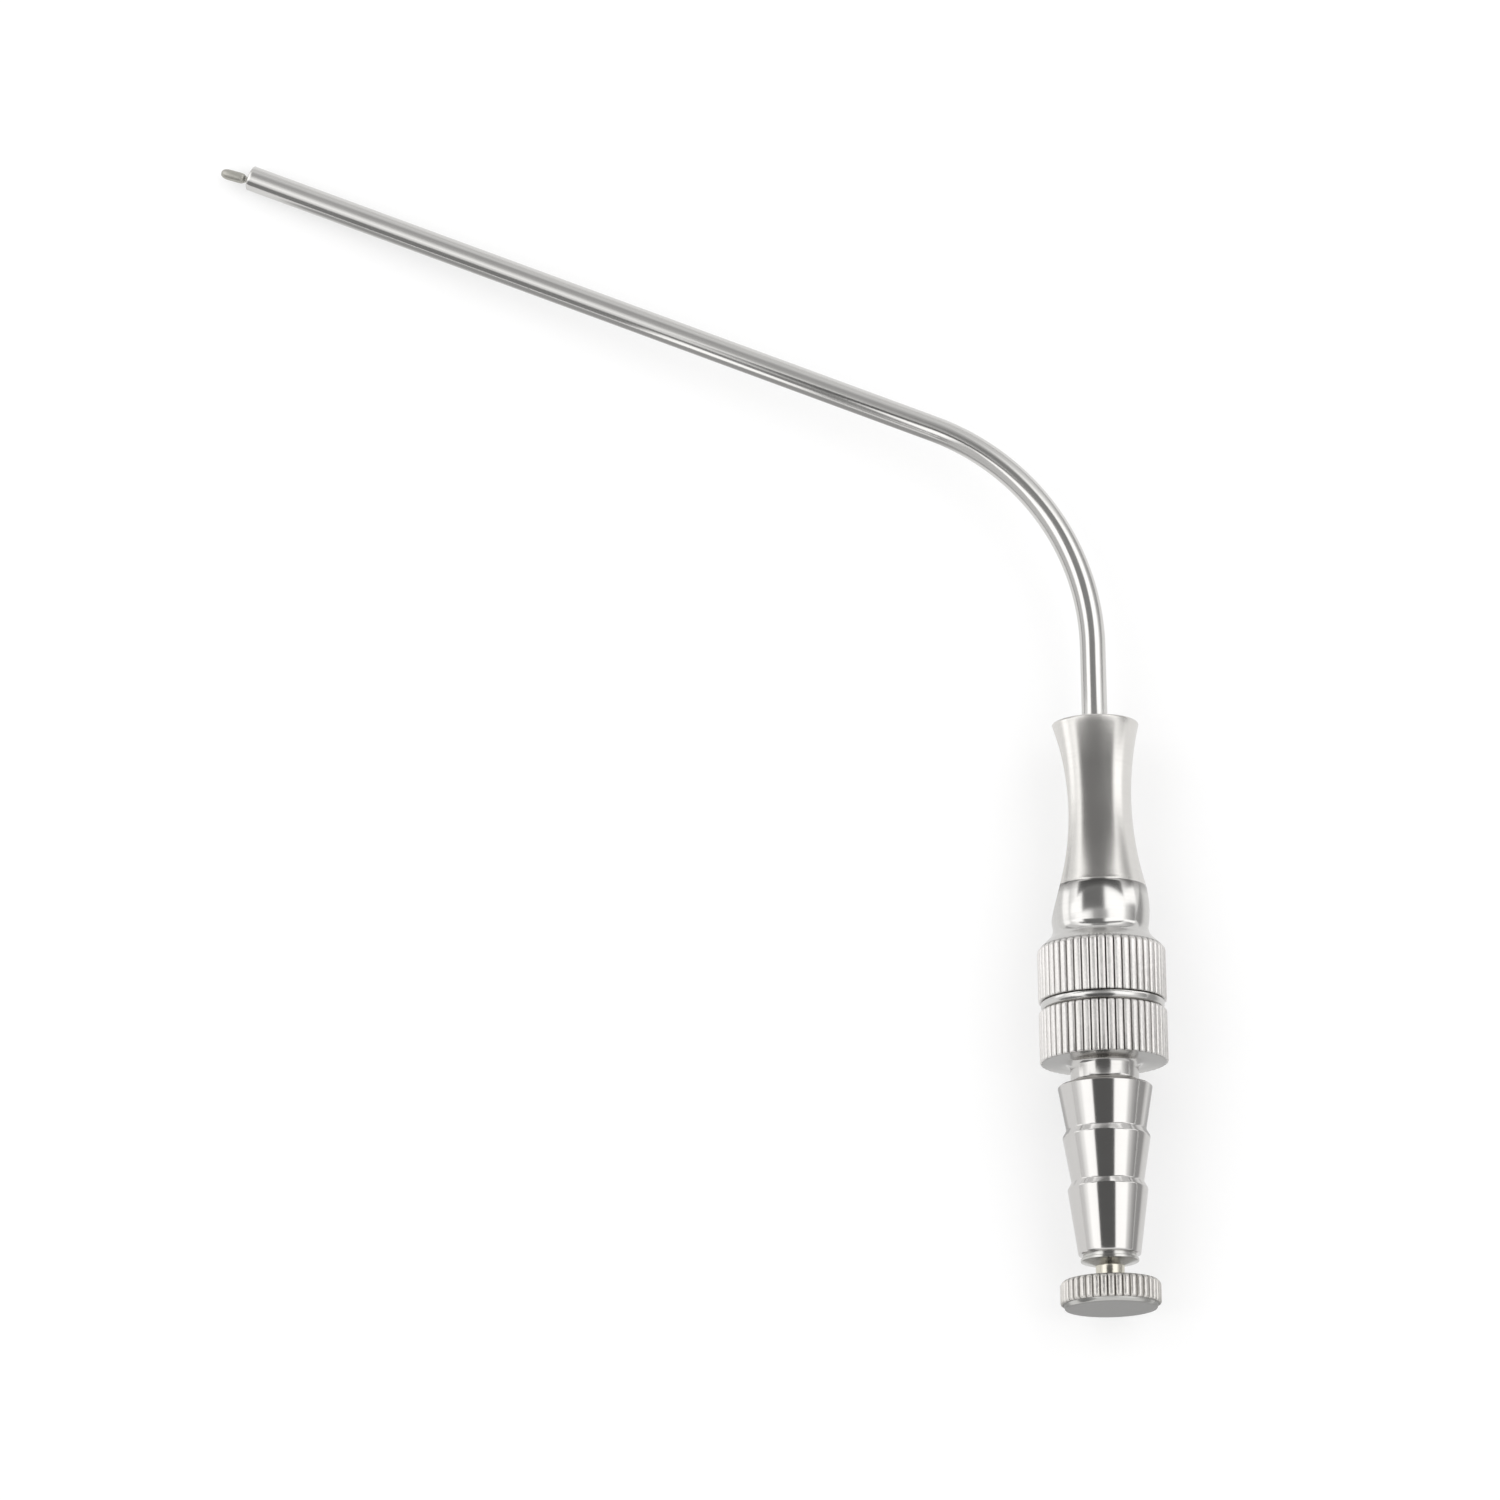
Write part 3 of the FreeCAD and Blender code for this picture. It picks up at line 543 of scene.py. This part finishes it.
collar_knurl = {"Crest": COLLAR_CREST * MM, "Depth": COLLAR_FLUTE[0] * MM, "Color": (0.71, 0.693, 0.675, 1)}
knurled = add(
    tree, "Group", {"Place": centred, "Radius": radius}, node_tree=knurled_steel, values=collar_knurl,
)
finish_knurled(tree, shader, worked, knurled, on_ridges, mix(tree, on_waist, 0.12, 0.5), 6.0)
handle.data.materials.append(handle_steel)
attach(handle, "root")
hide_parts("handle")

# Hose connector: turned and polished bright, with three barbs that hold the suction hose. It is screwed
# into the handle, and its half of the collar is knurled like the other half.
CONNECTOR_BORE = 2.5
SPIGOT_RADIUS = 4.15
SPIGOT_LENGTH = 6.5
CONNECTOR_BAND = 6.14
CONNECTOR_END = -28.64
LAST_BARB = -21.04

connector = start_ring("turned_hose_connector", COLLAR_POINTS, SPIGOT_LENGTH, CONNECTOR_BORE)
# Spigot, seat and the other side of the notch
connector_profile = rings([
    (SPIGOT_LENGTH, 3.75), (6.1, SPIGOT_RADIUS), (0, SPIGOT_RADIUS), (0, 6.8), (-0.04, 6.98), (-0.1, 7.16),
])
# Knurled band
connector_profile += rings([
    (-0.11, 7.2), (-0.19, 7.34), (-0.28, 7.4), (-0.4, 7.42), (-3.0, 7.42), (-5.94, 7.42), (-6.04, 7.41),
    (-6.09, 7.38), (-6.12, 7.34), (-CONNECTOR_BAND, 7.28),
], COLLAR_VALLEY)
# Flat underside, neck with its rounded corners, and the edge of the first barb
connector_profile += rings([
    (-CONNECTOR_BAND, 6.96), (-CONNECTOR_BAND, 5.6), (-CONNECTOR_BAND, 4.66), (-6.18, 4.45), (-6.27, 4.27),
    (-6.4, 4.12), (-6.56, 4.02), (-6.76, 3.96), (-7.0, 3.95), (-8.1, 3.95), (-8.35, 3.98), (-8.58, 4.07),
    (-8.74, 4.22), (-8.82, 4.4), (-8.84, 4.6), (-8.84, 5.12), (-8.86, 5.24), (-8.92, 5.34), (-9.0, 5.41),
    (-9.1, 5.45), (-9.22, 5.436),
])
# Three tapering barbs, each with a sloping back to the next one's edge
for top, crest in ((-8.84, 5.5), (-14.94, 5.08), (LAST_BARB, 4.66)):
    length, taper = (7.6, 1.06) if top == LAST_BARB else (5.1, 0.88)
    foot, small = top - length, crest - taper
    connector_profile += rings([
        (top - length * share, crest - taper * share) for share in (0.12, 0.3, 0.5, 0.7, 0.9, 0.975)
    ])
    if top != LAST_BARB:
        connector_profile += rings([
            (foot - 0.08, small + 0.004), (foot - 0.19, small + 0.03), (foot - 0.27, small + 0.068),
            (foot - 0.84, small + 0.385), (foot - 0.92, small + 0.42), (foot - 1.02, small + 0.436),
            (foot - 1.16, small + 0.424),
        ])
# Rounded end, and back through the bore
connector_profile += rings([
    (-28.56, 3.6), (-28.62, 3.56), (CONNECTOR_END, 3.49), (CONNECTOR_END, 2.62), (-28.6, 2.54),
    (-28.52, CONNECTOR_BORE), (SPIGOT_LENGTH, CONNECTOR_BORE),
])
turn_profile(connector, (SPIGOT_LENGTH, CONNECTOR_BORE), connector_profile, COLLAR_FLUTE)
press_unevenly(connector, 8, -6.2, -0.105, COLLAR_CREST, COLLAR_FLUTE[0])
close_piece(connector, TURNED_SMOOTHING)

connector_steel, tree, shader, place = steel_shader("bright_connector_steel")
centred, radius, along = round_axis(tree, place)
on_ridges = in_both(tree, beyond(tree, radius, KNURL_RADIUS), beyond(tree, along, 0.01 - CONNECTOR_BAND))
on_barbs = add(tree, "Math", {1: beyond(tree, along, -8.8)}, {0: 1.0}, operation="SUBTRACT").outputs[0]
tool_lines = add(tree, "Mapping", {"Vector": centred}, {"Scale": (70, 4200, 70)})
worked = add(
    tree, "Group", node_tree=worked_steel, values={"Line Tone": 0.05},
    links={
        "Lines": tool_lines.outputs[0], "Place": centred,
        "Color": mix(tree, on_barbs, (0.55, 0.54, 0.525), (0.565, 0.553, 0.54), "RGBA"),
        "Roughness": mix(tree, on_barbs, 0.16, 0.13),
    },
)
knurled = add(
    tree, "Group", {"Place": centred, "Radius": radius}, node_tree=knurled_steel, values=collar_knurl,
)
finish_knurled(tree, shader, worked, knurled, on_ridges, 0.12, 6.0)
connector.data.materials.append(connector_steel)
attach(connector, "root")
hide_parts("hose_connector")

# Stylet knob: knurled disc, slim stem, flange and plug, turned in one piece. The flange stops against the
# connector's end, and the plug holds the wire in the middle of the bore.
KNOB_POINTS = 400
KNOB_CREST = 5.8
KNOB_FLUTE = (0.36, 0.145, 0.064, 0.02, 0.002, 0.0)
KNOB_VALLEY = KNOB_CREST - KNOB_FLUTE[0]
KNOB_KNURL_RADIUS = 5.42
KNOB_FACE = -34.9
KNOB_BACK = -31.7
KNOB_RIDGES_START = -34.43
FIRST_DISC = 0.4
SEAT = -28.645
PLUG_RADIUS = 2.46
PLUG_END = -22.64
WIRE_HOLE = 0.36

knob = start_ring("knurled_stylet_knob", KNOB_POINTS, KNOB_FACE, FIRST_DISC, filled=True)
# End face and its smooth chamfer
knob_profile = rings([
    (KNOB_FACE, 2.0), (KNOB_FACE, 4.6), (KNOB_FACE, 5.2), (-34.88, 5.27), (-34.82, 5.32), (-34.44, 5.42),
])
# Knurled edge of the disc
knob_profile += rings([
    (-34.42, 5.58), (-34.38, 5.68), (-34.31, 5.75), (-34.21, 5.79), (-34.06, 5.8), (-33.3, 5.8),
    (-32.3, 5.8), (-32.12, 5.78), (-31.98, 5.7), (-31.84, 5.57), (-31.74, 5.46),
], KNOB_VALLEY)
# Back of the disc, and the stem with its rounded corners
knob_profile += rings([
    (KNOB_BACK, 5.36), (KNOB_BACK, 4.0), (KNOB_BACK, 2.0), (-31.67, 1.82), (-31.58, 1.7), (-31.45, 1.65),
    (-30.1, 1.65), (-29.98, 1.68), (-29.9, 1.8),
])
# Flange, shoulder, and the plug with the hole for the wire
knob_profile += rings([
    (-29.5, 3.2), (-29.45, 3.31), (-29.39, 3.36), (-29.15, 3.36), (-29.1, 3.33), (-29.09, 3.28),
    (-29.09, 3.05), (SEAT, 3.05), (SEAT, PLUG_RADIUS), (-23.14, PLUG_RADIUS), (PLUG_END, 1.96),
    (PLUG_END, WIRE_HOLE), (-27.6, WIRE_HOLE),
])
turn_profile(knob, (KNOB_FACE, FIRST_DISC), knob_profile, KNOB_FLUTE)
bpy.ops.mesh.edge_face_add()
press_unevenly(knob, 5, KNOB_RIDGES_START, -31.72, KNOB_CREST, KNOB_FLUTE[0])
close_piece(knob, TURNED_SMOOTHING)

knob_steel, tree, shader, place = steel_shader("knob_steel")
centred, radius, along = round_axis(tree, place)
on_ridges = in_both(tree, beyond(tree, radius, KNOB_KNURL_RADIUS), beyond(tree, along, KNOB_RIDGES_START))
on_stem = add(
    tree, "Math", {0: beyond(tree, along, -31.6), 1: beyond(tree, radius, 1.75)},
    operation="SUBTRACT", use_clamp=True,
).outputs[0]
tool_lines = add(tree, "Mapping", {"Vector": centred}, {"Scale": (900, 2600, 900)})
worked = add(
    tree, "Group", node_tree=worked_steel, values={"Line Tone": 0.1, "Roughness": 0.22},
    links={
        "Lines": tool_lines.outputs[0], "Place": centred,
        "Color": mix(tree, on_stem, (0.53, 0.525, 0.505), (0.6, 0.575, 0.5), "RGBA"),
    },
)
knurled = add(
    tree, "Group", {"Place": centred, "Radius": radius}, node_tree=knurled_steel,
    values={"Crest": KNOB_CREST * MM, "Depth": KNOB_FLUTE[0] * MM, "Color": (0.66, 0.64, 0.61, 1)},
)
finish_knurled(tree, shader, worked, knurled, on_ridges, 0.3, 7.0)
knob.data.materials.append(knob_steel)
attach(knob, "stylet")
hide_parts("stylet_knob")

# Stylet wire: hard-drawn spring wire, soldered into the plug. It lies in the bore from end to end and
# bends with the tube, so its straight part stretches where the real one would slide.
WIRE_RADIUS = 0.35
WIRE_POINTS = 32
WIRE_START = -27.55
WIRE_LAST_RING = 42
SHANK_LENGTH = 4.5
SHANK_GAP = 0.1

wire = start_ring("stylet_spring_wire", WIRE_POINTS, WIRE_START, WIRE_RADIUS, filled=True)
wire_rings = rings([(place, WIRE_RADIUS) for place in range(-27, WIRE_LAST_RING + 1)])
turn_profile(wire, (WIRE_START, WIRE_RADIUS), wire_rings)
run_bent(WIRE_LAST_RING, TUBE_REACH - SHANK_LENGTH - SHANK_GAP)
bpy.ops.mesh.edge_face_add()
close_piece(wire, DRAWN_SMOOTHING)

wire_steel, tree, shader, place = steel_shader("spring_wire_steel")
draw_lines = add(tree, "Mapping", {"Vector": place}, {"Scale": (9000, 200, 9000)})
worked = add(
    tree, "Group", node_tree=worked_steel, links={"Lines": draw_lines.outputs[0], "Place": place},
    values={"Color": (0.45, 0.43, 0.4, 1), "Roughness": 0.3, "Line Tone": 0.3},
)
finish_steel(tree, shader, worked, 0.5, 0.003)
wire.data.materials.append(wire_steel)
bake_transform(wire)
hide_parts("stylet_wire")

# Stylet tip: short shank with a round-ended olive, brazed on the wire's end. It keeps the dull skin and the
# faint heat tint that the brazing left.
TIP_SLOPE = math.radians(4.4)
TIP_POINTS = 48

tip = start_ring("olive_stylet_tip", TIP_POINTS, 0, WIRE_RADIUS, filled=True)
tip_profile = rings([
    (4.9, WIRE_RADIUS), (4.98, 0.37), (5.1, 0.45), (5.22, 0.54), (5.36, 0.6), (5.55, 0.63), (5.8, 0.64),
    (6.9, 0.64), (7.3, 0.625), (7.56, 0.58), (7.78, 0.5), (7.93, 0.4), (8.03, 0.27), (8.07, 0.15),
    (8.08, 0.06),
])
turn_profile(tip, (0, WIRE_RADIUS), tip_profile)
bpy.ops.mesh.edge_face_add()
bpy.ops.object.mode_set(mode="OBJECT")
tip_foot = mouth - onwards * SHANK_LENGTH * MM
lean = Matrix.Rotation(-DIP, 4, "Y") @ Matrix.Rotation(BEND_ANGLE + TIP_SLOPE, 4, "Z")
tip.matrix_world = Matrix.Translation(tip_foot) @ lean @ LYING.inverted() @ tip.matrix_world
close_piece(tip, DRAWN_SMOOTHING)

tip_steel, tree, shader, place = steel_shader("brazed_tip_steel")
skin = add(tree, "Mapping", {"Vector": place}, {"Scale": (2600, 2600, 2600)})
worked = add(
    tree, "Group", node_tree=worked_steel, links={"Lines": skin.outputs[0], "Place": place},
    values={"Color": (0.42, 0.41, 0.375, 1), "Roughness": 0.42, "Line Tone": 0.3},
)
finish_steel(tree, shader, worked, 0.8, 0.01)
tip.data.materials.append(tip_steel)
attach(tip, "stylet_end")
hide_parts("stylet_tip")

# Table: a sheet of white acrylic that is lit a little from below, so that shadows on it stay pale
scene = bpy.context.scene
scene.view_settings.view_transform = "Standard"
scene.view_settings.look = "None"
bpy.ops.object.select_all(action="DESELECT")
bpy.ops.mesh.primitive_plane_add(size=8, location=(0, 0, 0))
table_top = take("table_top")
acrylic = bpy.data.materials.new("white_acrylic")
acrylic.use_nodes = True
shader = acrylic.node_tree.nodes["Principled BSDF"]
shader.inputs["Base Color"].default_value = (0.5, 0.5, 0.5, 1)
shader.inputs["Roughness"].default_value = 0.9
shader.inputs["Specular IOR Level"].default_value = 0.0
shader.inputs["Emission Color"].default_value = (1, 1, 1, 1)
shader.inputs["Emission Strength"].default_value = 0.5
table_top.data.materials.append(acrylic)

# Tent: an even white tent with a brighter strip on either side of the handle. It is set out by the angle
# round the handle's axis, from the left horizon over the top to the right one.
TENT_BRIGHTEST = 1.8
TENT_STRIPS = [
    (-90, 0.90), (-78, 0.95), (-66, 1.35), (-56, 1.8), (-34, 1.75), (-27, 1.5), (-20, 1.15), (-14, 0.55),
    (0, 0.46), (12, 0.62), (24, 1.75), (55, 1.8), (66, 1.0), (78, 0.6), (86, 0.42), (90, 0.42),
]
world = bpy.data.worlds.new("white_tent")
scene.world = world
world.use_nodes = True
tree = world.node_tree
parts = add(tree, "SeparateXYZ", {0: add(tree, "TexCoord").outputs["Generated"]})
turned = add(tree, "Math", {0: parts.outputs["X"], 1: parts.outputs["Z"]}, operation="ARCTAN2")
share = add(
    tree, "MapRange", {"Value": turned.outputs[0]}, {"From Min": -math.pi / 2, "From Max": math.pi / 2},
)
strips = add(tree, "ValToRGB", {"Fac": share.outputs[0]})
strips.color_ramp.interpolation = "EASE"
while len(strips.color_ramp.elements) < len(TENT_STRIPS):
    strips.color_ramp.elements.new(0.5)
for element, (degrees, brightness) in zip(strips.color_ramp.elements, TENT_STRIPS):
    element.position = (degrees + 90) / 180
    element.color = (*[brightness / TENT_BRIGHTEST] * 3, 1)
# The tent's two ends, beyond the knob and beyond the tube, are even.
tent = strips.outputs["Color"]
for begins, full, brightness in ((-0.2, -0.45, 0.95), (0.55, 0.85, 0.85)):
    towards_end = add(
        tree, "MapRange", {"Value": parts.outputs["Y"]}, {"From Min": begins, "From Max": full},
        interpolation_type="SMOOTHSTEP",
    )
    tent = mix(tree, towards_end.outputs[0], tent, (brightness / TENT_BRIGHTEST,) * 3, "RGBA")
tree.links.new(tent, tree.nodes["Background"].inputs["Color"])
tree.nodes["Background"].inputs["Strength"].default_value = TENT_BRIGHTEST


def card(name, centre, width, length, brightness, edges=(0.1, 0.1), lean=(0, 0, 0)):
    """A soft-edged card that shows in polished steel alone. It lights nothing and casts no shadow."""
    bpy.ops.mesh.primitive_plane_add(size=1, location=centre, rotation=lean)
    piece = take(name)
    piece.scale = (width, length, 1)
    material = bpy.data.materials.new(name)
    material.use_nodes = True
    tree = material.node_tree
    place = add(tree, "SeparateXYZ", {0: add(tree, "TexCoord").outputs["Object"]})
    fades = []
    for side, edge in zip("XY", edges):
        inwards = add(tree, "Math", {0: place.outputs[side]}, operation="ABSOLUTE")
        fade = add(
            tree, "MapRange", {"Value": inwards.outputs[0]}, {"From Min": 0.5, "From Max": 0.5 - edge},
            interpolation_type="SMOOTHSTEP",
        )
        fades.append(fade.outputs[0])
    glow = add(tree, "Emission", values={"Strength": brightness})
    clear = add(tree, "BsdfTransparent")
    seen = add(tree, "MixShader", {0: in_both(tree, *fades), 1: clear.outputs[0], 2: glow.outputs[0]})
    tree.links.new(seen.outputs[0], tree.nodes["Material Output"].inputs["Surface"])
    piece.data.materials.append(material)
    piece.visible_camera = piece.visible_diffuse = piece.visible_shadow = False
    piece.visible_transmission = piece.visible_volume_scatter = False


# Dark cards over the work draw the dark line down each turned piece, as a photographer sets them. The low
# ones are seen by the piece below them alone, and the white ones beside them keep the higher cards off it.
card("dark_card_over_barbs", (JOINT.x - 0.0020, -0.0535, 0.0300), 0.0225, 0.033, 0.14, (0.1, 0.06))
card("dark_card_over_bulge", (JOINT.x - 0.0068, -0.0190, 0.0300), 0.0256, 0.012, 0.2, (0.16, 0.1))
card("white_card_over_bulge", (JOINT.x - 0.0140, -0.0190, 0.0303), 0.1060, 0.012, 1.8, (0.1, 0.1))
card("dark_card_over_tube", (JOINT.x - 0.0018, 0.0150, 0.0300), 0.0255, 0.023, 0.3, (0.16, 0.06))
card("white_card_over_tube", (JOINT.x - 0.0010, 0.0150, 0.0303), 0.0880, 0.023, 1.75, (0.1, 0.06))
card("dark_card_over_handle", (JOINT.x + 0.0040, 0.0080, 0.0600), 0.1660, 0.052, 0.15, (0.11, 0.06))
card("dark_card_over_bend", (JOINT.x - 0.0028, 0.0460, 0.0600), 0.0580, 0.028, 0.3, (0.2, 0.06))

# Upright cards on three sides
FACING_HANDLE = (math.pi / 2, 0, math.pi / 2)
FACING_BARBS = (math.pi / 2, 0, math.radians(-22))
card("dark_card_in_front", (-0.33, -0.21, 0.175), 0.34, 0.34, 0.27, (0.1, 0.06), FACING_BARBS)
card("white_card_at_right", (JOINT.x + 0.1, 0.0085, 0.066), 0.030, 0.13, 1.8, (0.1, 0.06), FACING_HANDLE)
card("white_card_at_left", (JOINT.x - 0.08, -0.008, 0.014), 0.044, 0.036, 1.7, (0.15, 0.2), FACING_HANDLE)
card("grey_card_at_left", (JOINT.x - 0.02, 0.01725, 0.0125), 0.0255, 0.0135, 0.7, (0.1, 0.1), FACING_HANDLE)

# Cards on the table, which tone the lower sides of the metal as seen in reflection. The grey ones by the
# knob and the collar are painted shade: they put the table's shade beside those parts into the steel.
ALONG_TUBE = (0, 0, BEND_ANGLE - math.pi / 2)
card("white_card_on_table", (JOINT.x - 0.050, -0.012, 0.0004), 0.060, 0.036, 1.0, (0.1, 0.15))
card("grey_card_on_table", (JOINT.x + 0.14, -0.1555, 0.0004), 0.25, 0.289, 0.46, (0.06, 0.01))
card("grey_card_beyond_handle", (JOINT.x + 0.14, 0.161, 0.0004), 0.25, 0.278, 0.46, (0.06, 0.01))
card("grey_card_by_tube", (-0.017, 0.032, 0.0005), 0.09, 0.04, 0.45, (0.06, 0.1), ALONG_TUBE)
card("grey_card_by_knob", (JOINT.x, -0.080, 0.0004), 0.05, 0.024, 0.46, (0.2, 0.1))
card("grey_card_by_collar", (JOINT.x, -0.0465, 0.0004), 0.03, 0.008, 0.6, (0.2, 0.2))

# Camera: a long lens one metre above the table, turned a little, so that the knob's end face just shows
CAMERA_PLACE = Vector((0.050181, -0.252654, 0.973568))
CAMERA_BACK = Vector((0.04287, -0.24899, 0.96756)).normalized()
CAMERA_UP = Vector((0.02889, 0.96835, 0.24791))
camera = bpy.data.objects.new("camera", bpy.data.cameras.new("camera"))
scene.collection.objects.link(camera)
camera.data.lens = 205.75
camera.data.clip_start = 0.01
camera.data.clip_end = 20
right = CAMERA_UP.cross(CAMERA_BACK).normalized()
turn = Matrix((right, CAMERA_BACK.cross(right), CAMERA_BACK)).transposed().to_4x4()
camera.matrix_world = Matrix.Translation(CAMERA_PLACE) @ turn
scene.camera = camera
